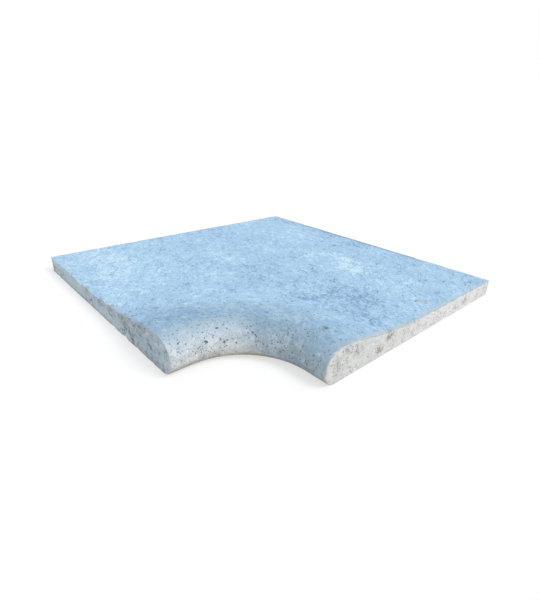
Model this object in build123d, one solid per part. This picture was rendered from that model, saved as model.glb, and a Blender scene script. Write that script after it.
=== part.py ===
"""Inside-corner coping stone for the edge of a swimming pool, cast in one piece.

The stone turns the coping through the right-angled inner corner of a pool. It has the same section
as the straight stones beside it: a thin flat back that rises in a shallow wave to a thick rounded
nose. That section runs straight in from one joint, sweeps round the corner of the pool, and runs
straight out to the other joint. The sweep is then trimmed to a square block.

Frame: the origin is the centre of the square footprint on the underside, +Z is up, X and Y run
along the sides, and the missing corner with the nose lies at +X, -Y.
"""
import os
from math import acos, degrees, sin, sqrt

from build123d import *

# Driving dimensions, in millimetres
side = 500.0               # length of each outer side of the square
nose_setback = 110.0       # from the missing corner to the front of the nose, along a joint side
bend_radius = 80.0         # plan radius of the front of the nose, round the corner of the pool
back_thickness = 24.0      # thickness of the flat part
nose_height = 42.0         # height of the crest of the nose
nose_top_radius = 24.0     # upper rounding of the nose, from its front to its crest
crest_radius = 175.0       # back of the crest, where the wave starts to fall
dish_radius = 665.0        # hollow foot of the wave, where it runs out into the flat part
corner_rounding = 3.0      # upright corners of the square
arris_rounding = 1.5       # worn upper edges of the joints and the back

# The nose is a full round: its lower arc starts where the upper one ends
nose_bottom_radius = nose_height - nose_top_radius

# The straight run of the nose between each joint and the bend
straight_run = nose_setback - bend_radius

# The two arcs of the wave meet at the slope where together they drop from the crest to the flat part
wave_slope = acos(1 - (nose_height - back_thickness) / (crest_radius + dish_radius))
wave_end = nose_top_radius + (crest_radius + dish_radius) * sin(wave_slope)

# The section is drawn long enough to pass the far corner of the square
section_reach = side * sqrt(2)

bend_centre = (side / 2 - straight_run, straight_run - side / 2, 0)


def coping_section():
    """The section, with x counted outwards from the axis of the bend and y upwards."""
    front = bend_radius
    flat_start = front + wave_end
    far_end = front + section_reach
    slope = degrees(wave_slope)
    lower_round = CenterArc(
        (front + nose_bottom_radius, nose_bottom_radius), nose_bottom_radius, 270, -90
    )
    upper_round = CenterArc(
        (front + nose_top_radius, nose_height - nose_top_radius), nose_top_radius, 180, -90
    )
    crest = CenterArc(
        (front + nose_top_radius, nose_height - crest_radius), crest_radius, 90, -slope
    )
    dish = CenterArc((flat_start, back_thickness + dish_radius), dish_radius, 270 - slope, slope)
    back = Polyline(
        (flat_start, back_thickness),
        (far_end, back_thickness),
        (far_end, 0),
        (front + nose_bottom_radius, 0),
    )
    return make_face([lower_round, upper_round, crest, dish, back])


def swept_coping():
    """The section run in from one joint, round the bend and out to the other joint."""
    section = coping_section()
    first_plane = Plane(origin=bend_centre, x_dir=(-1, 0, 0), z_dir=(0, 1, 0))
    second_plane = Plane(origin=bend_centre, x_dir=(0, 1, 0), z_dir=(1, 0, 0))
    first_run = extrude(first_plane * section, -straight_run)
    bend = revolve(first_plane * section, Axis(bend_centre, (0, 0, -1)), 90)
    second_run = extrude(second_plane * section, straight_run)
    return first_run + bend + second_run


def square_block():
    """The square that the sweep is trimmed to, with its upright corners rounded."""
    outline = RectangleRounded(side, side, corner_rounding)
    return extrude(outline, nose_height)


def worn_edges(stone):
    """The edges round the joints and the back, apart from the upright ones and those underneath."""
    near_outline = side / 2 - corner_rounding
    chosen = []
    for edge in stone.edges():
        centre = edge.center()
        on_outline = max(abs(centre.X), abs(centre.Y)) > near_outline
        upright = abs(edge.tangent_at(0.5).Z) > 0.99
        underneath = edge.bounding_box().max.Z < 0.01
        if on_outline and not upright and not underneath:
            chosen.append(edge)
    return chosen


def coping_stone():
    """The trimmed stone with its worn edges."""
    stone = swept_coping() & square_block()
    return fillet(worn_edges(stone), arris_rounding)


os.makedirs("parts", exist_ok=True)
export_step(coping_stone().solids()[0], "parts/coping_stone.step")
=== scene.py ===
"""Looks of an inside-corner pool coping stone, laid out as a Blender add-on and run as a script.

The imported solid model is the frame. Over it comes one cast skin of the same form, with its pores,
its worn and chipped edges and its slight unevenness, and then the studio: floor, lights and camera.
All lengths are metres, in the frame of the solid model: origin under the middle of the square,
+Z up, the rounded nose round the missing corner at +X, -Y.
"""
from math import acos, atan2, ceil, cos, hypot, pi, radians, sin, sqrt

import bmesh
import bpy
import numpy as np
from bpy.props import (
    FloatProperty,
    FloatVectorProperty,
    IntProperty,
    PointerProperty,
)
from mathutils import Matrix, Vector, noise
from mathutils.geometry import delaunay_2d_cdt


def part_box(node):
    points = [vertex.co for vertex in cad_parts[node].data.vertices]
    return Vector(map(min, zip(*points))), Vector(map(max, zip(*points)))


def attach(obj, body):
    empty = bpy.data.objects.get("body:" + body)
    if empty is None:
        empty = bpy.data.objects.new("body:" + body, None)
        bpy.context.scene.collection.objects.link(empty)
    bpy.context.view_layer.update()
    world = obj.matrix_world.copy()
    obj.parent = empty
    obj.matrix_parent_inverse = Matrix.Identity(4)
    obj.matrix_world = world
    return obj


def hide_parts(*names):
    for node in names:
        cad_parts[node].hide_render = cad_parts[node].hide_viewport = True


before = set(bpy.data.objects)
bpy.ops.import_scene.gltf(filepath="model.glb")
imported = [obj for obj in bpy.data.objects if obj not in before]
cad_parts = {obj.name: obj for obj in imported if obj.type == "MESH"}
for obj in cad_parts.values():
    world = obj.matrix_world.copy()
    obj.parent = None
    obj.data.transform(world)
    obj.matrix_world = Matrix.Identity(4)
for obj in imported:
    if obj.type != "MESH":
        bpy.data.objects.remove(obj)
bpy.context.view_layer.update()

SOLID = "coping_stone"
solid_low, solid_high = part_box(SOLID)

bl_info = {
    "name": "Inside-corner coping stone",
    "version": (1, 0, 0),
    "blender": (4, 5, 0),
    "location": "3D View > Sidebar > Coping",
    "description": "Cast pool coping stone for an inside corner, with its pores and worn edges",
    "category": "Object",
}


def shade(red, green, blue):
    """A colour given in the 0 to 255 steps of a screen, as Blender's linear light."""
    steps = [value / 255 for value in (red, green, blue)]
    return [s / 12.92 if s <= 0.04045 else ((s + 0.055) / 1.055) ** 2.4 for s in steps]


def length(name, description, default):
    """A length property."""
    return FloatProperty(
        name=name, description=description, default=default, unit="LENGTH", precision=4
    )


def amount(name, description, default):
    """A counting property."""
    return IntProperty(name=name, description=description, default=default, min=0)


def strength(name, description, default):
    """A property of a light's strength."""
    return FloatProperty(name=name, description=description, default=default, min=0)


def colour(name, description, default):
    """A colour property."""
    return FloatVectorProperty(
        name=name, description=description, default=default, subtype="COLOR", size=3, min=0, max=1
    )


class CopingForm(bpy.types.PropertyGroup):
    """Sizes of the stone."""

    side: length("Side", "Outer side of the square", solid_high.x - solid_low.x)
    nose_setback: length("Nose setback", "From the missing corner to the nose, along a joint", 0.11)
    bend_radius: length("Bend radius", "Plan radius of the nose round the corner of the pool", 0.08)
    back_thickness: length("Back thickness", "Thickness of the flat part", 0.024)
    nose_height: length("Nose height", "Height of the crest of the nose", solid_high.z - solid_low.z)
    nose_top_radius: length("Nose top radius", "Upper rounding of the nose", 0.024)
    crest_radius: length("Crest radius", "Back of the crest, where the wave starts to fall", 0.175)
    dish_radius: length("Dish radius", "Hollow foot of the wave", 0.665)
    corner_rounding: length("Corner rounding", "Upright corners of the square", 0.003)


class CopingSkin(bpy.types.PropertyGroup):
    """Wear and texture that are cut into the surface."""

    grid: length("Grid", "Spacing of the points on even parts of the surface", 0.0055)
    arris_wear: length("Arris wear", "Rounding of the upper edges and of the ends of the nose", 0.0014)
    foot_wear: length("Foot wear", "Rounding of the lower edges", 0.0007)
    unevenness: length("Unevenness", "Depth of the slow waves of the cast surface", 0.00022)
    chips: amount("Chips", "Number of chips along the edges", 64)
    top_pores: amount("Top pores", "Pores in the top", 1900)
    nose_pores: amount("Nose pores", "Pores in the nose", 320)
    side_pores: amount("Side pores", "Pores in the joints and the back", 620)
    foot_pores: amount("Underside pores", "Pores in the underside", 340)
    seed: amount("Seed", "Start of the random wear", 7)


class CopingColours(bpy.types.PropertyGroup):
    """Colours of the cast stone."""

    # The top's blue-grey is partly the stone's own colour and partly painted skylight
    top: colour("Top", "Blue-grey of the walked-on top", shade(171, 208, 239))
    top_pale: colour("Pale patches", "Paler bloom on the top", shade(203, 235, 254))
    top_dark: colour("Dark clouds", "Darker clouds on the top", shade(127, 164, 198))
    body: colour("Body", "Off-white of the cut ends", shade(211, 213, 210))
    # Painted shade: a grey-blue that stands in for the shade of the side away from the main lamp
    painted_shade: colour("Painted shade", "Grey-blue of the side away from the sun", shade(185, 204, 217))
    pore: colour("Pores", "Shadowed inside of the pores", shade(88, 98, 108))
    soil: colour("Soil", "Brown-grey dirt in hollows and along edges", shade(138, 130, 122))


class CopingStudio(bpy.types.PropertyGroup):
    """Floor, lights and camera."""

    soft_light: strength("Soft light", "Strength of the even light", 0.55)
    key_light: strength("Key light", "Strength of the soft main lamp", 1.8)
    key_spread: FloatProperty(
        name="Key spread",
        description="Apparent width of the main lamp",
        default=radians(28),
        subtype="ANGLE",
    )
    floor: colour("Floor", "Pale floor", shade(230, 230, 230))
    lens: FloatProperty(
        name="Lens", description="Focal length in millimetres", default=24.6086, min=1
    )


class StoneForm:
    """The clean surface of the stone, before any wear."""

    def __init__(self, sizes):
        self.half = sizes.side / 2
        self.setback = sizes.nose_setback
        self.bend = sizes.bend_radius
        self.run = sizes.nose_setback - sizes.bend_radius
        self.back = sizes.back_thickness
        self.top = sizes.nose_height
        self.upper = sizes.nose_top_radius
        self.lower = self.top - self.upper
        self.crest = sizes.crest_radius
        self.dish = sizes.dish_radius
        self.corner = sizes.corner_rounding
        slope = acos(1 - (self.top - self.back) / (self.crest + self.dish))
        self.crest_end = self.upper + self.crest * sin(slope)
        self.wave_end = self.upper + (self.crest + self.dish) * sin(slope)
        self.axis = (self.half - self.run, self.run - self.half)
        self.upper_arc = self.upper * pi / 2
        self.nose_arc = (self.upper + self.lower) * pi / 2
        self.bend_line = self.bend + self.upper / 2
        self.nose_run = 2 * self.run + self.bend_line * pi / 2
        self.joint = sizes.side - self.setback - self.corner
        self.flank = sizes.side - 2 * self.corner
        self.turn = self.corner * pi / 2
        self.girth = 2 * (self.joint + self.flank) + 3 * self.turn
        self.corners = [self.joint + self.turn * (i + 0.5) + self.flank * i for i in range(3)]

    def from_nose(self, x, y):
        """Distance behind the front of the nose, and the level direction that leads away from it."""
        across, along = self.axis[0] - x, y - self.axis[1]
        if along <= 0:
            return across - self.bend, (-1.0, 0.0)
        if across <= 0:
            return along - self.bend, (0.0, 1.0)
        reach = hypot(across, along)
        return reach - self.bend, (-across / reach, along / reach)

    def along_nose(self, x, y):
        """Distance along the sweep of the nose, from its diagonal, at the same distance behind it."""
        across, along = self.axis[0] - x, y - self.axis[1]
        if along <= 0:
            return along - across * pi / 4
        if across <= 0:
            return -across + along * pi / 4
        return hypot(across, along) * (atan2(along, across) - pi / 4)

    def height(self, behind):
        """Height of the top at a distance behind the nose, and its slope there."""
        if behind < self.upper:
            offset = self.upper - max(behind, 0)
            rise = sqrt(max(self.upper**2 - offset**2, 1e-12))
            return self.top - self.upper + rise, offset / rise
        if behind < self.crest_end:
            offset = behind - self.upper
            rise = sqrt(self.crest**2 - offset**2)
            return self.top - self.crest + rise, -offset / rise
        if behind < self.wave_end:
            offset = self.wave_end - behind
            rise = sqrt(self.dish**2 - offset**2)
            return self.back + self.dish - rise, -offset / rise
        return self.back, 0.0

    def top_place(self, x, y):
        """Point of the top over a plan point, with its outward normal."""
        behind, away = self.from_nose(x, y)
        z, slope = self.height(behind)
        normal = Vector((-slope * away[0], -slope * away[1], 1)).normalized()
        return Vector((x, y, z)), normal

    def foot_place(self, x, y):
        """Point of the underside, with its outward normal."""
        return Vector((x, y, 0)), Vector((0, 0, -1))

    def nose_place(self, u, v):
        """Point of the nose: u along its sweep, v down its round from the crest."""
        if v <= self.upper_arc:
            angle = v / self.upper
            behind = self.upper * (1 - sin(angle))
            z = self.top - self.upper * (1 - cos(angle))
            ahead, rise = sin(angle), cos(angle)
        else:
            angle = (v - self.upper_arc) / self.lower
            behind = self.lower * (1 - cos(angle))
            z = self.lower * (1 - sin(angle))
            ahead, rise = cos(angle), -sin(angle)
        reach = self.bend + behind
        if u <= self.run:
            x, y = self.axis[0] - reach, u - self.half
            facing = (1.0, 0.0)
        elif u >= self.nose_run - self.run:
            x, y = self.half + u - self.nose_run, self.axis[1] + reach
            facing = (0.0, -1.0)
        else:
            turn = pi - (u - self.run) / self.bend_line
            x, y = self.axis[0] + reach * cos(turn), self.axis[1] + reach * sin(turn)
            facing = (-cos(turn), -sin(turn))
        return Vector((x, y, z)), Vector((facing[0] * ahead, facing[1] * ahead, rise))

    def nose_stretch(self, u, v):
        """How much longer the sweep is at this height of the nose than its u says."""
        if u <= self.run or u >= self.nose_run - self.run:
            return 1.0
        behind = self.lower * 0.3 if v > self.upper_arc else self.upper * (1 - sin(v / self.upper))
        return (self.bend + behind) / self.bend_line

    def side_place(self, t, z):
        """Point of the joints and the back: t runs round them from the front joint's nose."""
        far = self.half - self.corner
        legs = (
            (self.joint, (self.half - self.setback, -self.half), (-1, 0), (0, -1)),
            (self.turn, (-far, -far), None, -pi / 2),
            (self.flank, (-self.half, -far), (0, 1), (-1, 0)),
            (self.turn, (-far, far), None, -pi),
            (self.flank, (-far, self.half), (1, 0), (0, 1)),
            (self.turn, (far, far), None, pi / 2),
            (self.joint, (self.half, far), (0, -1), (1, 0)),
        )
        for leg, (size, start, heading, facing) in enumerate(legs):
            if t <= size or leg == len(legs) - 1:
                break
            t -= size
        if heading is None:
            angle = facing - t / self.corner
            facing = (cos(angle), sin(angle))
            x, y = start[0] + self.corner * facing[0], start[1] + self.corner * facing[1]
        else:
            x, y = start[0] + heading[0] * t, start[1] + heading[1] * t
        return Vector((x, y, z)), Vector((facing[0], facing[1], 0))

    def near_corner(self, t, reach):
        """Whether a place round the joints and the back is near the middle of an upright corner."""
        return any(abs(t - middle) < reach for middle in self.corners)


def spaced(start, end, step):
    """Even values from start to end, no further apart than step, without the last one."""
    count = max(1, ceil(abs(end - start) / step))
    return [start + (end - start) * i / count for i in range(count)]


def side_outline(form, step):
    """The edge of the joints and the back, unrolled: (t, z), the way in from the edge, and its name.

    It runs from the foot of the front joint's nose over the top to the other joint, and back below.
    """
    over = []
    for angle in spaced(pi / 2, 0, step / form.lower):
        t, z = form.lower * (1 - cos(angle)), form.lower * (1 - sin(angle))
        over.append((t, z, cos(angle), sin(angle)))
    for angle in spaced(pi / 2, 0, step / form.upper):
        t, z = form.upper * (1 - sin(angle)), form.top - form.upper * (1 - cos(angle))
        over.append((t, z, sin(angle), -cos(angle)))
    for behind in spaced(form.upper, form.wave_end, step) + spaced(form.wave_end, form.joint, step):
        z, slope = form.height(behind)
        size = hypot(slope, 1)
        over.append((behind, z, slope / size, -1 / size))
    t = form.joint + form.turn
    level = spaced(form.joint, t, form.turn / 4)
    for size, finer in ((form.flank, step), (form.turn, form.turn / 4)) * 2:
        level += spaced(t, t + size, finer)
        t += size
    mirrored = [(form.girth - t, z, -dt, dz) for t, z, dt, dz in reversed(over)]
    edge = [(*point, "arris") for point in over]
    edge += [(t, form.back, 0.0, -1.0, "arris") for t in level]
    edge += [(form.girth - form.joint, form.back, 0.0, -1.0, "arris")]
    edge += [(*point, "arris") for point in mirrored]
    foot = [t for t, *_ in edge if form.lower < t < form.girth - form.lower]
    kept = []
    for t in reversed(foot):
        if form.near_corner(t, form.turn) or not kept or kept[-1] - t > step * 1.5:
            kept.append(t)
    if kept[-1] - form.lower < step:
        kept.pop()
    edge += [(t, 0.0, 0.0, 1.0, "foot") for t in kept]
    return edge


# Points that inside() works out at a time
BLOCK_SIZE = 400


def inside(points, outline):
    """How far each point lies inside a closed outline; negative outside it."""
    starts = np.asarray(outline, float)
    ends = np.roll(starts, -1, axis=0)
    spans = ends - starts
    sizes = np.maximum((spans**2).sum(1), 1e-18)
    result = []
    blocks = max(1, len(points) // BLOCK_SIZE)
    for block in np.array_split(np.asarray(points, float), blocks):
        offset = block[:, None, :] - starts[None]
        share = np.clip((offset * spans).sum(2) / sizes, 0, 1)
        gap = np.sqrt(((offset - share[..., None] * spans) ** 2).sum(2)).min(1)
        straddles = (starts[None, :, 1] > block[:, None, 1]) != (ends[None, :, 1] > block[:, None, 1])
        rise = np.where(np.abs(spans[:, 1]) < 1e-15, 1e-15, spans[:, 1])
        crossing = starts[None, :, 0] + offset[:, :, 1] * (spans[:, 0] / rise)[None]
        hits = (straddles & (block[:, None, 0] < crossing)).sum(1)
        result.append(np.where(hits % 2 == 1, gap, -gap))
    return np.concatenate(result)


class Pores:
    """Irregular holes in one flat or unrolled part of the skin."""

    # Least distance between two rims, and how far a ragged rim may reach past its radius
    GAP = 0.0003
    RAGGED = 1.25
    # Depth of a listed hole, as a share of its radius, and the deepest of the others
    MARK_DEPTH = 0.95
    DEEPEST = 0.0022
    # By the radius that a hole stays below, its rings from rim to floor: their share of the radius,
    # their share of the depth, how dark they are with painted shade, and their number of points
    RINGS = (
        (0.0008, ((1.0, 0.0, 0.0, 6), (0.58, 0.9, 1.0, 3))),
        (0.0013, ((1.0, 0.0, 0.0, 8), (0.76, 0.6, 0.9, 6), (0.36, 1.0, 1.0, 3))),
        (1.0, ((1.0, 0.0, 0.0, 12), (0.82, 0.5, 0.8, 10), (0.52, 0.9, 1.0, 7), (0.16, 1.0, 1.0, 3))),
    )

    def __init__(self, chance, outline, margin):
        self.chance = chance
        self.outline = outline
        self.margin = margin
        self.centres = np.empty((0, 2))
        self.reaches = np.empty(0)
        self.points = []

    def fits(self, centre, reach):
        """Whether a hole has room inside the outline and between the others."""
        if len(self.centres):
            gaps = np.hypot(*(self.centres - centre).T)
            if (gaps < self.reaches + reach + self.GAP).any():
                return False
        return inside([centre], self.outline)[0] > reach + self.margin

    def cut(self, centre, radius, depth, stretch=1.0, turn=0.0, squeeze=1.0):
        """One hole: a ragged rim, a steep wall and a smaller floor."""
        chance = self.chance
        reach = radius * max(stretch, 1.0) * self.RAGGED
        if not self.fits(centre, reach):
            return False
        self.centres = np.vstack([self.centres, centre])
        self.reaches = np.append(self.reaches, reach)
        rings = next(rings for limit, rings in self.RINGS if radius < limit)
        lobes = chance.integers(2, 4)
        phase = chance.uniform(0, 2 * pi)
        for share, sink, dark, corners in rings:
            start = chance.uniform(0, 2 * pi)
            for corner in range(corners):
                angle = start + 2 * pi * corner / corners
                ragged = 1 + 0.2 * sin(lobes * angle + phase) * share
                ragged += chance.uniform(-0.1, 0.1) * share
                a = radius * share * ragged * cos(angle) * stretch
                b = radius * share * ragged * sin(angle)
                u = centre[0] + (a * cos(turn) - b * sin(turn)) / squeeze
                v = centre[1] + a * sin(turn) + b * cos(turn)
                sunk = depth * sink * (1 + chance.uniform(-0.1, 0.1))
                self.points.append(((u, v), sunk, dark))
        return True

    def mark(self, centre, radius, squeeze=1.0):
        """One hole at a given place."""
        stretch, turn = self.chance.uniform(1.0, 1.25), self.chance.uniform(0, pi)
        self.cut(centre, radius, radius * self.MARK_DEPTH, stretch, turn, squeeze)

    def scatter(self, count, low, high, sizes, squeeze=None, clusters=0.45, spread=0.02):
        """Holes at random, a share of them in loose clusters."""
        chance = self.chance
        hearts = chance.uniform(low, high, (max(1, count // 16), 2))
        made = 0
        for _ in range(count * 3):
            if made >= count:
                return
            if chance.random() < clusters:
                heart = hearts[chance.integers(len(hearts))]
                centre = heart + chance.normal(0, spread, 2)
            else:
                centre = chance.uniform(low, high)
            radius = sizes[0] * (sizes[1] / sizes[0]) ** (chance.random() ** 2.6)
            depth = radius * chance.uniform(0.7, 1.25)
            stretch = chance.uniform(1.0, 1.7)
            scale = squeeze(*centre) if squeeze else 1.0
            turn = chance.uniform(0, pi)
            made += self.cut(centre, radius, min(depth, self.DEEPEST), stretch, turn, scale)


class Skin:
    """Points and faces of the cast surface, with what the material has to know of each point."""

    FACTS = ("upward", "frontward", "turned", "pore", "wear", "cut", "behind", "along")
    # Height of a row of even triangles, and the least distance of the grid's points from the
    # outline and from the pores, all as shares of the grid's step
    ROW = 0.866
    EDGE_GAP = 0.45
    PORE_GAP = 0.16

    def __init__(self, form, unevenness):
        self.form = form
        self.unevenness = unevenness
        self.points = []
        self.facts = {name: [] for name in self.FACTS}
        self.faces = []

    def swell(self, point):
        """Slow unevenness of the cast surface, always inwards."""
        slow = noise.noise(point * 14) * 0.6 + noise.noise(point * 37 + Vector((3, 5, 7))) * 0.4
        return self.unevenness * min(max(0.5 + 0.9 * slow, 0), 1)

    def add(self, point, normal, sink=0.0, pore=0.0, wear=0.0, cut=0.0):
        """One point, sunk below the clean surface; gives its number."""
        flat_foot = normal.z < -0.99
        swell = 0.0 if flat_foot else self.swell(point)
        behind, away = self.form.from_nose(point.x, point.y)
        self.points.append(point - normal * (sink + swell))
        turned = away[1] * (1 - cut) - normal.y * cut
        along = self.form.along_nose(point.x, point.y)
        values = (normal.z, -normal.y, turned, pore, wear, cut, behind, along)
        for name, value in zip(self.FACTS, values):
            self.facts[name].append(value)
        return len(self.points) - 1

    def fill(self, outline, numbers, pores, place, step, cut=0.0):
        """Fills one outline with triangles, through the rims of its pores and an even grid."""
        low, high = np.min(outline, 0), np.max(outline, 0)
        rows = []
        columns = range(int((high[0] - low[0]) / step) + 2)
        for row in range(int((high[1] - low[1]) / (step * self.ROW)) + 1):
            v = low[1] + (row + 0.5) * step * self.ROW
            rows += [(low[0] + (column + 0.5 * (row % 2)) * step, v) for column in columns]
        grid = np.array(rows)
        grid = grid[inside(grid, outline) > step * self.EDGE_GAP]
        if len(pores.centres) and len(grid):
            clear = np.ones(len(grid), bool)
            for centre, reach in zip(pores.centres, pores.reaches):
                clear &= np.hypot(*(grid - centre).T) >= reach + step * self.PORE_GAP
            grid = grid[clear]
        plan = [Vector(p) for p in outline]
        marks = [(None, 0.0, 0.0)] * len(outline)
        for uv, sink, dark in pores.points:
            plan.append(Vector(uv))
            marks.append((uv, sink, dark))
        for uv in grid:
            plan.append(Vector(uv))
            marks.append((tuple(uv), 0.0, 0.0))
        border = list(range(len(outline)))
        turned = sum(a[0] * b[1] - b[0] * a[1] for a, b in zip(outline, outline[1:] + outline[:1]))
        if turned < 0:
            border.reverse()
        found, _, triangles, origins, _, owners = delaunay_2d_cdt(plan, [], [border], 0, 1e-8, True)
        if len(found) != len(plan):
            raise RuntimeError(
                f"the skin's points met: {len(plan)} were given and {len(found)} came back"
            )
        numbers = list(numbers)
        for uv, sink, dark in marks[len(outline):]:
            point, normal = place(*uv)
            numbers.append(self.add(point, normal, sink, dark, cut=cut))
        for triangle, owner in zip(triangles, owners):
            if owner:
                self.faces.append([numbers[origins[corner][0]] for corner in triangle])


# Spacing of the points along the edges, along the seams of the nose, and in the nose, the sides and
# the underside
EDGE_STEP = 0.0026
SEAM_STEP = 0.0036
NOSE_STEP = 0.0037
SIDE_STEP = 0.0042
FOOT_STEP = 0.011

# Least and most wear of an edge, and the most at an upright corner, as a share of its rounding
LEAST_WEAR = 0.0003
MOST_WEAR = 0.0045
CORNER_WEAR = 0.55


def worn_outline(form, sizes, chance):
    """Wear of each point of the side outline: how far it reaches over the surface and down the side."""
    edge = side_outline(form, EDGE_STEP)
    places = np.array([(t, z) for t, z, *_ in edge])
    steps = np.hypot(*(places - np.roll(places, 1, axis=0)).T)
    run = np.cumsum(steps)
    total = run[-1]
    wears = {"arris": sizes.arris_wear, "foot": sizes.foot_wear}
    over = np.array([wears[name] for *_, name in edge])
    over = np.convolve(np.concatenate([over[-2:], over, over[:2]]), np.full(5, 0.2), "valid")
    slow = np.array([noise.noise(Vector((r * 55, 1.7, 0))) for r in run])
    quick = np.array([noise.noise(Vector((r * 240, 8.1, 0))) for r in run])
    level = over * (1 + 0.55 * slow + 0.35 * quick)
    down = over * (1 + 0.5 * slow - 0.4 * quick)
    dig = np.full(len(edge), 1.0)
    for _ in range(sizes.chips):
        middle, reach = chance.uniform(0, total), chance.uniform(0.002, 0.007)
        depth = chance.uniform(0.0006, 0.0024)
        gap = np.abs((run - middle + total / 2) % total - total / 2)
        bite = np.clip(1 - (gap / reach) ** 2, 0, 1) * chance.uniform(0.7, 1.0, len(edge))
        level = level + bite * depth * chance.uniform(0.6, 1.3)
        down = down + bite * depth * chance.uniform(0.6, 1.3)
        dig = np.maximum(dig, 1 + bite * 0.95)
    tight = [form.near_corner(t, form.turn * 0.9) for t in places[:, 0]]
    most = np.where(tight, form.corner * CORNER_WEAR, MOST_WEAR)
    return edge, np.clip(level, LEAST_WEAR, most), np.clip(down, LEAST_WEAR, most), dig


def build_skin(form, sizes):
    """The whole surface: its worn edges, and the top, nose, sides and underside between them."""
    chance = np.random.default_rng(sizes.seed)
    skin = Skin(form, sizes.unevenness)
    edge, level, down, dig = worn_outline(form, sizes, chance)
    count = len(edge)
    rows = [[], [], [], []]
    side_ring, sweep_ring = [], []
    for (t, z, dt, dz, name), over, below, bite in zip(edge, level, down, dig):
        point, outward = form.side_place(t, z)
        ahead, _ = form.side_place(min(t + 1e-5, form.girth), z)
        behind, _ = form.side_place(max(t - 1e-5, 0), z)
        heading = (ahead - behind).normalized()
        inward = heading * dt + Vector((0, 0, dz))
        swept = -inward
        side_ring.append((t + dt * below, z + dz * below))
        top_point = point - outward * over
        side_point = point + inward * below
        sweep_ring.append(top_point)
        wear = 1.0 if bite > 1.2 else 0.75
        first = skin.add(top_point, swept, wear=0.3)
        last = skin.add(side_point, outward, wear=0.3, cut=1.0)
        rows[0].append(first)
        rows[3].append(last)
        for row, angle in ((1, radians(30)), (2, radians(60))):
            flat, steep = (1 - sin(angle)) * over * bite, (1 - cos(angle)) * below * bite
            flat, steep = min(flat, over * 0.96), min(steep, below * 0.96)
            middle = point - outward * flat + inward * steep
            lean = (swept * cos(angle) + outward * sin(angle)).normalized()
            rows[row].append(skin.add(middle, lean, wear=wear, cut=row / 3))
    for row in range(3):
        for i in range(count):
            j = (i + 1) % count
            skin.faces.append([rows[row][i], rows[row][j], rows[row + 1][j], rows[row + 1][i]])

    def crest_at(place):
        """Number of the edge's point at the crest of a joint."""
        return next(
            i for i, (t, z, *_) in enumerate(edge) if abs(t - place) < 1e-9 and z > form.lower
        )

    crest_front, crest_right = crest_at(form.upper), crest_at(form.girth - form.upper)
    foot_front = 0
    foot_right = max(i for i, (*_, name) in enumerate(edge) if name == "arris")

    def seam(v, first, last):
        """Points of the nose at one height, between the two joints' worn edges."""
        start = sweep_ring[first].y + form.half
        end = form.nose_run - (form.half - sweep_ring[last].x)
        places = spaced(start, end, SEAM_STEP)[1:]
        return places, [skin.add(*form.nose_place(u, v)) for u in places]

    crest_line, crest_numbers = seam(0.0, crest_front, crest_right)
    foot_line, foot_numbers = seam(form.nose_arc, foot_front, foot_right)

    over = list(range(crest_front, crest_right + 1))
    outline = [tuple(sweep_ring[i].xy) for i in over]
    outline += [tuple(form.nose_place(u, 0.0)[0].xy) for u in reversed(crest_line)]
    pores = Pores(chance, outline, margin=0.0012)
    for x, y, radius in TOP_MARKS:
        pores.mark((x, y), radius)
    half = form.half
    pores.scatter(sizes.top_pores, (-half, -half), (half, half), (0.00042, 0.0015))
    numbers = [rows[0][i] for i in over] + crest_numbers[::-1]
    skin.fill(outline, numbers, pores, form.top_place, sizes.grid)

    front = list(range(crest_front, foot_front - 1, -1))
    right = list(range(foot_right, crest_right - 1, -1))
    nose_down = {i: 0.0 for i in front + right}
    for i in front + right:
        t, z = edge[i][:2]
        behind = min(t, form.girth - t)
        if z >= form.lower:
            nose_down[i] = form.upper * atan2(form.upper - behind, z - form.lower)
        else:
            nose_down[i] = form.upper_arc + form.lower * atan2(form.lower - z, form.lower - behind)
    outline = [(sweep_ring[i].y + half, nose_down[i]) for i in front]
    outline += [(u, form.nose_arc) for u in foot_line]
    outline += [(form.nose_run - (half - sweep_ring[i].x), nose_down[i]) for i in right]
    outline += [(u, 0.0) for u in reversed(crest_line)]
    numbers = [rows[0][i] for i in front] + foot_numbers
    numbers += [rows[0][i] for i in right] + crest_numbers[::-1]
    pores = Pores(chance, outline, margin=0.001)
    for u, v, radius in NOSE_MARKS:
        pores.mark((u, v), radius, form.nose_stretch(u, v))
    pored_end = 0.13
    for start, end, share in ((0.0, pored_end, 0.75), (pored_end, form.nose_run, 0.25)):
        number = int(sizes.nose_pores * share)
        low, high = (start, 0), (end, form.nose_arc)
        reaches, stretch = (0.0004, 0.0009), form.nose_stretch
        pores.scatter(number, low, high, reaches, stretch, clusters=0.6, spread=0.007)
    skin.fill(outline, numbers, pores, form.nose_place, NOSE_STEP)

    pores = Pores(chance, side_ring, margin=0.0009)
    for t, z, spread, number in SIDE_GROUPS:
        heart = np.array((t if t > 0 else form.girth + t, z))
        for _ in range(number):
            pores.mark(heart + chance.normal(0, spread, 2), chance.uniform(0.0005, 0.0013))
    joint, right_joint = form.joint, form.girth - form.joint
    parts = ((0, joint, 0.1), (joint, right_joint, 0.6), (right_joint, form.girth, 0.3))
    for start, end, share in parts:
        number = int(sizes.side_pores * share)
        pores.scatter(number, (start, 0), (end, form.top), (0.0004, 0.0013), spread=0.008)
    skin.fill(side_ring, rows[3], pores, form.side_place, SIDE_STEP, cut=1.0)

    under = list(range(foot_right, count)) + [foot_front]
    outline = [tuple(sweep_ring[i].xy) for i in under]
    outline += [tuple(form.nose_place(u, form.nose_arc)[0].xy) for u in foot_line]
    numbers = [rows[0][i] for i in under] + foot_numbers
    pores = Pores(chance, outline, margin=0.0015)
    pores.scatter(sizes.foot_pores, (-half, -half), (half, half), (0.0007, 0.0026))
    skin.fill(outline, numbers, pores, form.foot_place, FOOT_STEP)
    return skin


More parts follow.
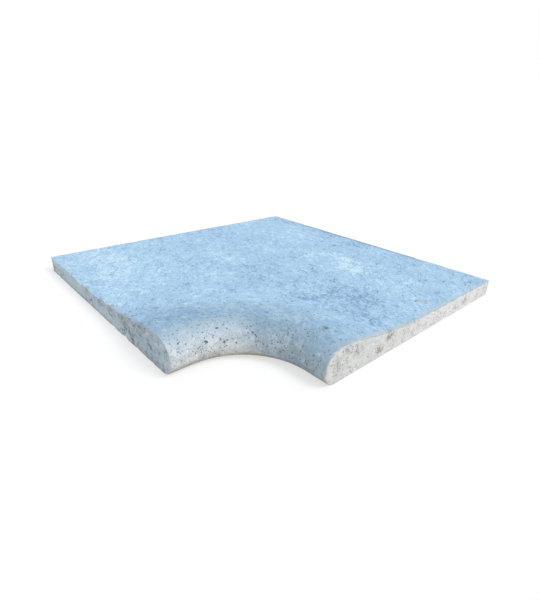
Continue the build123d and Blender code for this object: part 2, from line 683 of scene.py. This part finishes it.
# Larger pores of the top: x, y and radius
TOP_MARKS = (
    (0.082, -0.096, 0.0014), (0.048, -0.098, 0.0013), (0.034, -0.082, 0.0012),
    (0.046, -0.078, 0.0009), (0.060, -0.058, 0.0010), (0.112, -0.186, 0.0013),
    (0.108, -0.214, 0.0009), (0.118, -0.180, 0.0009), (0.134, -0.144, 0.0008),
    (0.120, -0.038, 0.0013), (0.138, -0.036, 0.0011), (0.106, -0.044, 0.0010),
    (0.100, -0.052, 0.0010), (0.132, -0.022, 0.0008), (0.152, -0.026, 0.0008),
    (0.128, -0.006, 0.0012), (0.158, -0.008, 0.0009), (0.190, -0.006, 0.0010),
    (0.202, -0.014, 0.0008), (0.126, 0.016, 0.0010), (0.116, 0.040, 0.0009),
    (0.122, -0.072, 0.0009), (0.178, -0.124, 0.0008), (0.188, -0.110, 0.0009),
    (0.208, -0.058, 0.0008), (0.218, 0.082, 0.0013), (0.178, 0.082, 0.0009),
    (0.046, 0.072, 0.0013), (0.056, 0.102, 0.0011), (0.078, 0.092, 0.0010),
    (0.060, 0.124, 0.0009), (-0.006, 0.066, 0.0009), (-0.022, 0.060, 0.0008),
    (-0.002, -0.018, 0.0009), (-0.006, -0.084, 0.0009), (0.010, -0.184, 0.0010),
    (-0.016, -0.184, 0.0010), (-0.068, -0.146, 0.0009), (-0.146, -0.100, 0.0010),
    (-0.176, -0.106, 0.0008), (-0.150, -0.196, 0.0008), (-0.060, -0.226, 0.0009),
    (-0.198, 0.174, 0.0012), (-0.216, 0.150, 0.0009), (0.234, 0.216, 0.0009),
)

# Larger pores of the nose: along its sweep, down its round, and radius
NOSE_MARKS = (
    (0.046, 0.026, 0.0019), (0.062, 0.013, 0.0015), (0.068, 0.030, 0.0014),
    (0.064, 0.026, 0.0011), (0.072, 0.028, 0.0011), (0.067, 0.033, 0.0009),
    (0.070, 0.010, 0.0010), (0.073, 0.015, 0.0008), (0.040, 0.002, 0.0012),
    (0.044, 0.004, 0.0009), (0.045, 0.015, 0.0008), (0.014, 0.018, 0.0012),
    (0.022, 0.021, 0.0009), (0.013, 0.028, 0.0008), (0.015, 0.005, 0.0010),
    (0.006, 0.003, 0.0010), (0.006, 0.015, 0.0008), (0.030, 0.026, 0.0008),
    (0.030, 0.035, 0.0008), (0.038, 0.036, 0.0009), (0.047, 0.037, 0.0008),
    (0.051, 0.034, 0.0008), (0.083, 0.032, 0.0011), (0.093, 0.030, 0.0006),
    (0.098, 0.026, 0.0007), (0.088, 0.005, 0.0007), (0.090, 0.010, 0.0008),
    (0.096, 0.014, 0.0008), (0.102, 0.021, 0.0008), (0.106, 0.023, 0.0010),
    (0.105, 0.003, 0.0007), (0.113, 0.021, 0.0006), (0.109, 0.017, 0.0007),
    (0.108, 0.034, 0.0009), (0.110, 0.029, 0.0008), (0.122, 0.034, 0.0010),
    (0.119, 0.009, 0.0007), (0.131, 0.028, 0.0006), (0.134, 0.018, 0.0006),
    (0.150, 0.032, 0.0007), (0.162, 0.006, 0.0009), (0.184, 0.024, 0.0008),
    (0.179, 0.037, 0.0008), (0.193, 0.016, 0.0007),
)

# Groups of larger hollows in the joints: distance round the side from the nearer nose (negative for
# the right joint), height, spread of the group, and how many
SIDE_GROUPS = (
    (-0.112, 0.0240, 0.0028, 9),
    (-0.095, 0.0110, 0.0034, 9),
    (-0.052, 0.0260, 0.0035, 6),
    (-0.021, 0.0200, 0.0048, 8),
    (-0.033, 0.0360, 0.0028, 4),
    (-0.040, 0.0110, 0.0036, 4),
    (-0.152, 0.0150, 0.0040, 5),
    (-0.214, 0.0170, 0.0030, 3),
    (-0.282, 0.0100, 0.0026, 5),
    (-0.307, 0.0100, 0.0038, 7),
    (-0.356, 0.0080, 0.0030, 4),
    (0.014, 0.0300, 0.0060, 6),
    (0.034, 0.0210, 0.0040, 4),
    (0.150, 0.0120, 0.0050, 3),
)

# Brown-grey stains: centre, size, and how strongly they show
STAINS = (
    ((0.2500, -0.0270, 0.0235), 0.0105, 0.85),
    ((0.2500, -0.0450, 0.0105), 0.0100, 0.85),
    ((0.2500, -0.0880, 0.0260), 0.0110, 0.45),
    ((0.2500, -0.1200, 0.0200), 0.0120, 0.45),
    ((0.2500, -0.1070, 0.0360), 0.0080, 0.50),
    ((0.2500, 0.1420, 0.0110), 0.0090, 0.55),
    ((0.2500, 0.1680, 0.0120), 0.0110, 0.65),
    ((-0.0100, -0.2500, 0.0220), 0.0140, 0.60),
    ((-0.0450, -0.2500, 0.0210), 0.0120, 0.60),
    ((-0.0900, -0.2500, 0.0200), 0.0110, 0.55),
    ((0.0300, -0.2500, 0.0250), 0.0120, 0.60),
    ((0.0720, -0.2500, 0.0320), 0.0130, 0.60),
)

# Soft spots on the top: centre, size, colour and how strongly they show
SPOTS = (
    ((0.2120, -0.0995, 0.0410), 0.0046, (84, 90, 110), 0.80),
    ((0.2095, -0.0972, 0.0410), 0.0044, (96, 100, 118), 0.80),
    ((0.2060, -0.0975, 0.0410), 0.0050, (128, 142, 158), 0.60),
    ((0.2105, -0.1035, 0.0410), 0.0050, (134, 146, 158), 0.60),
    ((0.2268, 0.0847, 0.0240), 0.0062, (184, 194, 190), 0.70),
    ((0.2215, 0.0893, 0.0240), 0.0062, (184, 192, 184), 0.75),
    ((0.2290, 0.0880, 0.0240), 0.0040, (150, 146, 148), 0.60),
    ((0.2180, 0.0865, 0.0240), 0.0040, (92, 120, 148), 0.70),
)

# How far the edges of the stains and spots, and of the patches of the top, wander, and the level
# of the middle of each patch
SPOT_DRIFT = 0.012
PATCH_DRIFT = 0.08
PATCH_LEVEL = 0.028

# Patchy bloom on the top: x, y, size, and how strongly it shows
BLOOM = (
    (0.080, 0.122, 0.036, 0.90),
    (0.098, 0.104, 0.028, 0.60),
    (0.060, 0.094, 0.026, 0.50),
    (0.034, 0.150, 0.030, 0.65),
    (0.050, 0.128, 0.026, 0.40),
    (0.002, 0.108, 0.032, 0.50),
)

# Paler parts of the top: x, y, size, and how strongly they show
PALE = (
    (0.160, 0.110, 0.055, 0.40),
    (0.200, 0.060, 0.045, 0.25),
    (-0.175, -0.175, 0.100, 0.55),
    (-0.060, -0.190, 0.070, 0.30),
    (-0.090, -0.020, 0.070, 0.25),
    (0.112, 0.146, 0.040, 0.45),
    (-0.142, -0.080, 0.050, 0.40),
    (-0.146, 0.026, 0.050, 0.38),
    (-0.218, -0.094, 0.040, 0.30),
    (0.192, -0.069, 0.026, 0.50),
)

# Dark clouds on the top: x, y, size, and how strongly they show
CLOUDS = (
    (0.080, 0.030, 0.060, 0.38),
    (0.150, 0.030, 0.055, 0.40),
    (0.136, -0.022, 0.036, 0.72),
    (0.205, 0.045, 0.050, 0.32),
    (0.195, -0.015, 0.045, 0.38),
    (0.015, -0.050, 0.036, 0.45),
    (0.030, -0.090, 0.030, 0.35),
    (-0.020, 0.075, 0.036, 0.38),
    (-0.210, 0.185, 0.040, 0.40),
    (0.010, 0.225, 0.045, 0.35),
    (-0.070, 0.228, 0.040, 0.30),
    (0.080, 0.235, 0.040, 0.35),
    (-0.255, 0.060, 0.045, 0.40),
    (0.060, -0.200, 0.050, 0.40),
    (0.020, -0.245, 0.040, 0.35),
    (0.005, 0.215, 0.040, 0.32),
    (-0.003, -0.006, 0.040, 0.32),
    (-0.165, -0.220, 0.042, 0.45),
    (0.228, -0.022, 0.026, 0.65),
)


class Wire:
    """A node socket, written as if it were its number or vector: each sum or product adds its node."""

    def __init__(self, recipe, socket):
        self.recipe = recipe
        self.socket = socket

    def worked(self, operation, first, second):
        """Adds the node of an operation."""
        kind = "ShaderNodeVectorMath" if self.socket.type == "VECTOR" else "ShaderNodeMath"
        return self.recipe.node(kind, {"operation": operation}, {0: first, 1: second})

    def __add__(self, other):
        return self.worked("ADD", self, other)

    def __radd__(self, other):
        return self.worked("ADD", other, self)

    def __sub__(self, other):
        return self.worked("SUBTRACT", self, other)

    def __rsub__(self, other):
        return self.worked("SUBTRACT", other, self)

    def __mul__(self, other):
        return self.worked("MULTIPLY", self, other)

    def __rmul__(self, other):
        return self.worked("MULTIPLY", other, self)


class Recipe:
    """A material's or the world's nodes."""

    def __init__(self, owner):
        owner.use_nodes = True
        self.tree = owner.node_tree
        self.tree.nodes.clear()

    def node(self, kind, settings=None, sockets=None, output=0):
        """Adds a node, its settings first, then its sockets' values or links; gives one output."""
        made = self.tree.nodes.new(kind)
        for name, value in (settings or {}).items():
            setattr(made, name, value)
        for key, value in (sockets or {}).items():
            socket = self.socket(made.inputs, key)
            if isinstance(value, Wire):
                self.tree.links.new(value.socket, socket)
            elif socket.type == "VECTOR" and isinstance(value, (int, float)):
                socket.default_value = (value, value, value)
            elif socket.type == "RGBA":
                socket.default_value = (*value[:3], 1)
            else:
                socket.default_value = value
        if not made.outputs:
            return None
        return Wire(self, self.socket(made.outputs, output))

    @staticmethod
    def socket(sockets, key):
        """A socket by its number or name."""
        if isinstance(key, int):
            return sockets[key]
        return next(socket for socket in sockets if key in (socket.identifier, socket.name))

    def fact(self, name):
        """A number that the skin keeps for each of its points."""
        return self.node("ShaderNodeAttribute", {"attribute_name": name}, output="Fac")

    def noise(self, where, scale, detail=2.0, roughness=0.5, distortion=0.0, output="Fac"):
        """Cloudy noise, from 0 to 1."""
        sockets = {
            "Vector": where,
            "Scale": scale,
            "Detail": detail,
            "Roughness": roughness,
            "Distortion": distortion,
        }
        return self.node("ShaderNodeTexNoise", None, sockets, output)

    def ramp(self, value, low, high, start=0.0, end=1.0):
        """A smooth step from start to end while the value goes from low to high."""
        sockets = {"Value": value, "From Min": low, "From Max": high, "To Min": start, "To Max": end}
        return self.node("ShaderNodeMapRange", {"interpolation_type": "SMOOTHSTEP"}, sockets)

    def mix(self, share, first, second, blend="MIX"):
        """One colour over another."""
        settings = {"data_type": "RGBA", "blend_type": blend}
        sockets = {0: share, "A_Color": first, "B_Color": second}
        return self.node("ShaderNodeMix", settings, sockets, "Result_Color")

    def drifted(self, place, wobble, drift):
        """A place that wanders by up to drift, so that what is drawn there gets ragged edges."""
        sockets = {0: wobble, "Scale": drift}
        return self.node("ShaderNodeVectorMath", {"operation": "SCALE"}, sockets) + place

    def spot(self, where, drift, centre, size, strength=1.0):
        """A round spot in a drifted place: strength near its centre, and nothing beyond its size."""
        middle = [value + drift / 2 for value in centre]
        settings = {"operation": "DISTANCE"}
        away = self.node("ShaderNodeVectorMath", settings, {0: where, 1: middle}, "Value")
        return self.ramp(away, size, size * 0.2, 0, strength)


def stone_material(colours):
    """Cast stone: blue-grey and cloudy on top, off-white and pored at the nose and the cut ends."""
    material = bpy.data.materials.new("cast_stone")
    recipe = Recipe(material)
    ramp, mix = recipe.ramp, recipe.mix
    place = recipe.node("ShaderNodeTexCoord", output="Object")
    across, rear, height = (
        recipe.node("ShaderNodeSeparateXYZ", None, {0: place}, axis) for axis in range(3)
    )
    facts = (recipe.fact(name) for name in Skin.FACTS)
    upward, frontward, turned, pore, wear, cut, behind, along = facts

    # Textures of the whole stone, and strokes that follow the sweep of the nose
    swept = recipe.node("ShaderNodeCombineXYZ", None, {0: along * 0.22, 1: behind, 2: height})
    drawn = recipe.node(
        "ShaderNodeMapping",
        {"vector_type": "TEXTURE"},
        {"Vector": place, "Rotation": (0, 0, radians(-38)), "Scale": (1.3, 1, 1)},
    )
    clouds = recipe.noise(drawn, 12, 4, 0.6, 0.4)
    mottle = recipe.noise(drawn, 92, 5, 0.68, 0.4)
    strokes = recipe.noise(swept, 80, 4, 0.65, 0.4)
    fine = recipe.noise(drawn, 245, 4, 0.66, 0.3)
    grain = recipe.noise(drawn, 680, 2, 0.6)
    cells = recipe.node("ShaderNodeTexVoronoi", None, {"Vector": drawn, "Scale": 285.0}, "Distance")
    lottery = recipe.noise(drawn, 60, 4, 0.65)
    specks = ramp(cells, 0.34, 0.14) * ramp(lottery, 0.44, 0.6)

    # One tone, from dark at 0 to pale at 1, with the listed patches
    wobble = recipe.noise(place, 60, 4, 0.65, output="Color")
    drift = recipe.drifted(place, wobble, PATCH_DRIFT)
    brushed = (strokes - 0.5) * ramp(behind, 0.16, 0.06, 0.25, 0.65)
    tone = 0.5 + (clouds - 0.5) * 0.8 + (mottle - 0.5) * 1.3 + brushed + (fine - 0.5) * 1.25
    patchy = ramp(mottle, 0.36, 0.6, 0.3, 1.3)
    for sign, patches in ((patchy * 0.36, BLOOM), (0.34, PALE), (-0.42, CLOUDS)):
        for x, y, size, strength in patches:
            centre = (x, y, PATCH_LEVEL)
            tone = tone + recipe.spot(drift, PATCH_DRIFT, centre, size, strength) * sign
    back_edge = ramp(rear + (mottle - 0.5) * 0.02, 0.236, 0.248)
    back_edge = back_edge * ramp(across, 0.15, 0.1)
    tone = tone - back_edge * ramp(across, -0.2, -0.1) * (1 - cut) * 0.45

    # The top, with painted shade: greyer on the crest and darker where it turns to the front
    top = mix(ramp(tone, 0.5, 0.9), colours.top, colours.top_pale)
    top = mix(ramp(tone, 0.5, 0.02), top, colours.top_dark)
    ends = ramp(along, 0.045, 0.11) + ramp(along, -0.045, -0.11)
    # Painted shade on the crest and the rise behind it, weaker towards the ends of the sweep
    rise = ramp(behind, -0.004, 0.014) * ramp(behind, 0.118, 0.05) * (1.12 - ends * 0.26)
    top = mix(rise * (0.44 + strokes * 0.6), top, (0.64, 0.68, 0.70), "MULTIPLY")
    kept = ramp(across, 0.0, -0.07) * ramp(rear, -0.2, -0.235)
    # Painted shade where the top turns to the front, except where the painted light below takes over
    shaded = ramp(frontward, 0.02, 0.45) * (1 - kept)
    top = mix(shaded, top, (0.75, 0.77, 0.775), "MULTIPLY")
    # Painted light: the top is paler where it leans to the front along the far part of the front joint
    top = mix(kept * ramp(frontward, 0.05, 0.4) * 0.85, top, shade(208, 236, 254))

    # The nose and the joints: off-white, and grey-blue painted shade where they face the front
    above = ramp(upward, -0.99, -0.8)
    slant = (upward - 0.25) * 0.15
    # Where the painted shade goes: the parts that face the front, away from the main lamp
    front = ramp(turned + (mottle - 0.5) * 0.3 + slant, 0.58, 0.9) * above
    # Painted skylight: the body turns bluer higher on the nose and on its crest
    body = mix(ramp(height, 0.010, 0.034), shade(191, 194, 191), shade(185, 201, 213))
    body = mix(ramp(upward, 0.72, 0.98), body, shade(170, 194, 211))
    end = mix(ramp(rear, -0.1, 0.12), colours.body, shade(226, 225, 226))
    body = mix(cut, body, end)
    calm = 1 - ramp(upward, 0.5, 0.98) * 0.6
    body = mix(ramp(tone, 0.45, 0.95) * calm * (0.75 + cut * 0.25), body, shade(231, 232, 230))
    body = mix(ramp(tone, 0.5, 0.0) * calm, body, shade(168, 169, 168))
    # Painted shade of the nose and the joints, bluer where it faces up, with paler and darker tones
    painted_shade = mix(ramp(upward, 0.2, 0.95), shade(166, 185, 197), shade(143, 171, 193))
    # Painted bounce light: the front joint is lighter low down, away from its nose end
    low = ramp(height, 0.019, 0.006) * ramp(across, 0.1, 0.03)
    painted_shade_end = mix(low, colours.painted_shade, shade(209, 229, 242))
    painted_shade_end = mix(ramp(across, -0.01, -0.12), painted_shade_end, shade(202, 222, 233))
    painted_shade = mix(cut, painted_shade, painted_shade_end)
    painted_shade_pale = mix(cut, shade(190, 209, 221), shade(210, 229, 240))
    painted_shade_dark = mix(cut, shade(128, 143, 152), shade(108, 122, 130))
    painted_shade = mix(ramp(tone, 0.5, 0.9) * calm, painted_shade, painted_shade_pale)
    painted_shade = mix(ramp(tone, 0.5, 0.05) * calm, painted_shade, painted_shade_dark)

    # The blue of the top fades out over the crest; the nose is paler low in its bend and at the right
    # The blue is partly painted skylight: it follows how far the surface faces up and lies behind the
    # nose
    back = ramp(behind, 0.016, 0.052) * 0.65 + ramp(behind, 0.05, 0.08) * 0.4
    lift = ramp(upward, 0.2, 1.0) * 0.35 + back * ramp(upward + kept * 0.6, 0.8, 0.95)
    lift = lift - cut * ramp(across, 0.2, 0.24) * 0.6
    blue = ramp(lift + (mottle - 0.5) * 0.6 + (strokes - 0.5) * 0.35, 0.2, 0.9)
    stone = mix(blue, mix(front, body, painted_shade), top)
    nose = ramp(behind, 0.03, 0.016) * (1 - cut) * above
    # Painted light: the pale side of the nose is made lighter low in its bend
    painted_light_low = ramp(height, 0.028, 0.017) * ramp(turned, 0.15, 0.45)
    painted_light_low = painted_light_low * ramp(turned, 0.88, 0.55)
    stone = mix(nose * painted_light_low, stone, (1.22, 1.20, 1.17), "MULTIPLY")
    # The nose is made lighter and bluer near the right joint, which lightens its painted shade there
    tip = ramp(across, 0.205, 0.235) * ramp(height, 0.010, 0.024)
    stone = mix(nose * tip, stone, (1.10, 1.14, 1.16), "MULTIPLY")

    # Grain, and flecks of painted shade in pits too small to cut
    fleck = mix(cut, colours.pore, shade(116, 116, 116))
    fleck = mix(blue, fleck, shade(82, 112, 142))
    hollow = mix(cut, fleck, shade(134, 129, 124))
    stone = mix(ramp(grain, 0.55, 0.8) * 0.34, stone, shade(226, 240, 250))
    stone = mix(ramp(grain, 0.45, 0.2) * 0.34, stone, fleck)
    # Specks: painted shade of pits too small to cut into the skin
    stone = mix(specks * 0.7, stone, fleck)

    # Worn rims of the top along the joints, dirt along the edges, dirt and painted shade at the foot,
    # and stains
    right_rim = ramp(across, 0.237, 0.2495) * ramp(rear, 0.18, 0.06, 0.5, 1.0)
    right_rim = right_rim * ramp(rear, -0.13, -0.09, 0.55, 1.0)
    front_rim = ramp(rear, -0.239, -0.2495) * ramp(across, -0.06, 0.02)
    front_rim = front_rim * ramp(across, 0.13, 0.09)
    rim = (right_rim + front_rim * 0.6) * ramp(mottle, 0.35, 0.65, 0.45, 0.9)
    rim = rim * (1 - cut) * above
    worn = mix(ramp(across, 0.19, 0.22), shade(150, 169, 180), shade(188, 197, 200))
    stone = mix(rim, stone, worn)
    dirt = ramp(wear, 0.34, 0.7) * ramp(mottle, 0.42, 0.62) * 0.45 * (1 - kept * 0.85)
    stone = mix(dirt, stone, colours.soil)
    # At the foot of the nose and of the front joint: a brown line of dirt, partly painted shade
    foot = ramp(height, 0.0114, 0.0086) * (1 - cut) * above
    foot = foot + ramp(height, 0.0036, 0.0012) * cut * front
    stone = mix(foot * ramp(strokes, 0.3, 0.5) * 0.45, stone, shade(152, 136, 118))
    shifted = recipe.drifted(place, wobble, SPOT_DRIFT)
    broken = ramp(fine + (grain - 0.5) * 0.5, 0.62, 0.42)
    for centre, size, strength in STAINS:
        stain = recipe.spot(shifted, SPOT_DRIFT, centre, size) * broken * strength
        stone = mix(stain, stone, colours.soil)
    for centre, size, tint, strength in SPOTS:
        spot = recipe.spot(shifted, SPOT_DRIFT, centre, size) * strength
        stone = mix(spot, stone, shade(*tint))
    # Painted shade inside the pores, brown-grey in the cut faces
    stone = mix(pore * 0.75, stone, hollow)

    # Fine relief and roughness
    bump = mottle * 0.0005 + fine * 0.00022 + grain * 0.00012 + strokes * 0.0003 - specks * 0.0004
    rough = 0.72 + fine * 0.2
    surface = recipe.node("ShaderNodeBump", None, {"Strength": 1.0, "Distance": 1.0, "Height": bump})
    shader = recipe.node(
        "ShaderNodeBsdfPrincipled", None, {"Base Color": stone, "Roughness": rough, "Normal": surface}
    )
    recipe.node("ShaderNodeOutputMaterial", None, {"Surface": shader})
    return material


# Steepest bend that is still shaded smoothly
SMOOTH_BEND = radians(38)

# The floor's size, its small gap under the stone, and the strength of its white
FLOOR_RADIUS = 30
FLOOR_GAP = 0.0002
FLOOR_WHITE = 1.25

# Where the main lamp stands from the stone, and the camera's place and turn
KEY_TOWARDS = (0.58, 0.28, 0.76)
CAMERA_PLACE = (0.4598, -0.4114, 0.2585)
CAMERA_TURN = (radians(64.772), radians(-2.011), radians(48.326))


class COPING_OT_cast_stone(bpy.types.Operator):
    """Make the cast stone with its pores and worn edges over the solid model"""

    bl_idname = "coping.cast_stone"
    bl_label = "Cast stone"

    def execute(self, context):
        scene = context.scene
        form = StoneForm(scene.coping_form)
        skin = build_skin(form, scene.coping_skin)
        mesh = bpy.data.meshes.new("cast_stone_skin")
        mesh.from_pydata(skin.points, [], skin.faces)
        work = bmesh.new()
        work.from_mesh(mesh)
        open_edges = sum(1 for edge in work.edges if len(edge.link_faces) != 2)
        if open_edges:
            raise RuntimeError(f"the skin isn't closed: {open_edges} edges")
        bmesh.ops.recalc_face_normals(work, faces=work.faces)
        if work.calc_volume(signed=True) < 0:
            bmesh.ops.reverse_faces(work, faces=work.faces)
        bmesh.ops.triangulate(work, faces=[face for face in work.faces if len(face.verts) > 3])
        work.to_mesh(mesh)
        work.free()
        for name, values in skin.facts.items():
            mesh.attributes.new(name, "FLOAT", "POINT").data.foreach_set("value", values)
        mesh.shade_smooth()
        mesh.set_sharp_from_angle(angle=SMOOTH_BEND)
        stone = bpy.data.objects.new("cast_coping_stone", mesh)
        context.collection.objects.link(stone)
        mesh.materials.append(stone_material(scene.coping_colours))
        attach(stone, "root")
        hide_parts(SOLID)
        return {"FINISHED"}


class COPING_OT_studio(bpy.types.Operator):
    """Make the floor, the lights and the camera"""

    bl_idname = "coping.studio"
    bl_label = "Studio"

    def execute(self, context):
        scene = context.scene
        studio = scene.coping_studio
        self.make_floor(context, studio)
        self.make_world(scene, studio)
        self.make_key_light(context, studio)
        self.make_camera(context, studio)
        scene.view_settings.view_transform = "Standard"
        return {"FINISHED"}

    @staticmethod
    def seen(recipe):
        """1 for the rays that show the background: from the camera, reflected or let through."""
        paths = [
            recipe.node("ShaderNodeLightPath", output=name)
            for name in ("Is Camera Ray", "Is Glossy Ray", "Is Transmission Ray")
        ]
        total = paths[0] + paths[1] + paths[2]
        return recipe.node("ShaderNodeMath", {"operation": "MINIMUM"}, {0: total, 1: 1.0})

    def make_floor(self, context, studio):
        work = bmesh.new()
        bmesh.ops.create_circle(work, cap_ends=True, segments=96, radius=FLOOR_RADIUS)
        bmesh.ops.translate(work, verts=work.verts, vec=(0, 0, -FLOOR_GAP))
        mesh = bpy.data.meshes.new("studio_floor")
        work.to_mesh(mesh)
        work.free()
        floor = bpy.data.objects.new("studio_floor", mesh)
        context.collection.objects.link(floor)
        material = bpy.data.materials.new("studio_floor")
        recipe = Recipe(material)
        matt = recipe.node("ShaderNodeBsdfDiffuse", None, {"Color": studio.floor})
        white = recipe.node("ShaderNodeEmission", None, {"Color": (1, 1, 1), "Strength": FLOOR_WHITE})
        share = self.seen(recipe) * 0.5
        both = recipe.node("ShaderNodeMixShader", None, {0: share, 1: matt, 2: white})
        recipe.node("ShaderNodeOutputMaterial", None, {"Surface": both})
        mesh.materials.append(material)

    def make_world(self, scene, studio):
        scene.world = bpy.data.worlds.new("studio")
        recipe = Recipe(scene.world)
        seen = self.seen(recipe)
        strength = seen + (1 - seen) * studio.soft_light
        light = recipe.node("ShaderNodeBackground", None, {"Color": (1, 1, 1), "Strength": strength})
        recipe.node("ShaderNodeOutputWorld", None, {"Surface": light})

    def make_key_light(self, context, studio):
        lamp = bpy.data.lights.new("key_light", "SUN")
        lamp.energy = studio.key_light
        lamp.angle = studio.key_spread
        key = bpy.data.objects.new("key_light", lamp)
        key.rotation_euler = Vector(KEY_TOWARDS).to_track_quat("Z", "Y").to_euler()
        context.collection.objects.link(key)

    def make_camera(self, context, studio):
        camera = bpy.data.objects.new("camera", bpy.data.cameras.new("camera"))
        camera.location = CAMERA_PLACE
        camera.rotation_euler = CAMERA_TURN
        camera.data.lens = studio.lens
        camera.data.clip_start = 0.01
        context.collection.objects.link(camera)
        context.scene.camera = camera


class COPING_PT_panel(bpy.types.Panel):
    """Coping stone tools"""

    bl_idname = "COPING_PT_panel"
    bl_label = "Coping stone"
    bl_space_type = "VIEW_3D"
    bl_region_type = "UI"
    bl_category = "Coping"

    def draw(self, context):
        layout = self.layout
        for group in GROUPS:
            settings = getattr(context.scene, group)
            for name in settings.bl_rna.properties.keys():
                if name not in ("rna_type", "name"):
                    layout.prop(settings, name)
        layout.operator(COPING_OT_cast_stone.bl_idname)
        layout.operator(COPING_OT_studio.bl_idname)


GROUPS = {
    "coping_form": CopingForm,
    "coping_skin": CopingSkin,
    "coping_colours": CopingColours,
    "coping_studio": CopingStudio,
}
CLASSES = (*GROUPS.values(), COPING_OT_cast_stone, COPING_OT_studio, COPING_PT_panel)


def register():
    for cls in CLASSES:
        bpy.utils.register_class(cls)
    for name, group in GROUPS.items():
        setattr(bpy.types.Scene, name, PointerProperty(type=group))


def unregister():
    for name in GROUPS:
        delattr(bpy.types.Scene, name)
    for cls in reversed(CLASSES):
        bpy.utils.unregister_class(cls)


def main():
    """Builds the stone and its studio."""
    register()
    bpy.ops.coping.cast_stone()
    bpy.ops.coping.studio()
    bpy.context.view_layer.update()


if __name__ == "__main__":
    main()
